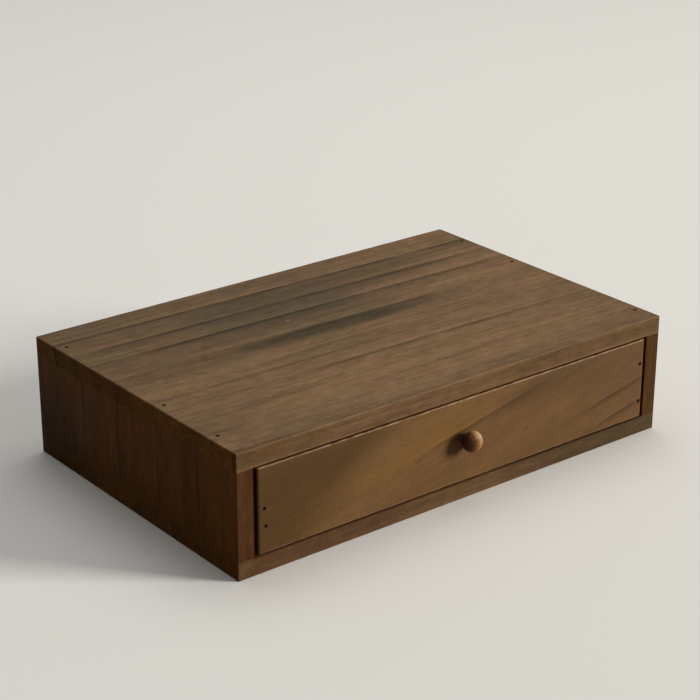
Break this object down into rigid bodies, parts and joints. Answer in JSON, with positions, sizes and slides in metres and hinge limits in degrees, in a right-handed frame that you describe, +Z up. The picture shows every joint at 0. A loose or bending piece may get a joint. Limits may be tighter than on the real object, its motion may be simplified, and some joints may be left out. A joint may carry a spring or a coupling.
{
  "type": "desk drawer box",
  "caption": "Low dark-stained wooden desk box with a flat top and one full-width inset drawer, opened by a small turned ball knob.",
  "frame": {"origin": "centre of the case's underside, on the surface that the box stands on", "axes": "+X to the right of someone facing the drawer, +Y from the drawer front to the back panel, +Z up"},
  "size_m": [0.37, 0.254, 0.088],
  "materials": {
    "case_wood": "satin dark walnut stain",
    "drawer_wood": "satin walnut stain",
    "plywood": "matt stained plywood",
    "knob_wood": "satin, turned",
    "brad_steel": "dark, dull",
    "screw_steel": "zinc plated"
  },
  "bodies": {
    "case": {"top_board": "case_wood", "bottom_board": "case_wood", "left_side": "case_wood", "right_side": "case_wood", "back_panel": "plywood", "top_board_brads": "brad_steel", "bottom_board_brads": "brad_steel", "back_panel_brads": "brad_steel"},
    "drawer": {"drawer_front": "drawer_wood", "drawer_left_side": "drawer_wood", "drawer_right_side": "drawer_wood", "drawer_back": "drawer_wood", "drawer_bottom": "plywood", "drawer_front_brads": "brad_steel", "drawer_back_brads": "brad_steel", "drawer_bottom_brads": "brad_steel", "drawer_knob": "knob_wood", "knob_screw": "screw_steel"}
  },
  "joints": [
    {"name": "drawer_slide", "type": "slide", "parent": "case", "child": "drawer", "axis": [0, -1, 0], "range_m": [0, 0.19]}
  ]
}
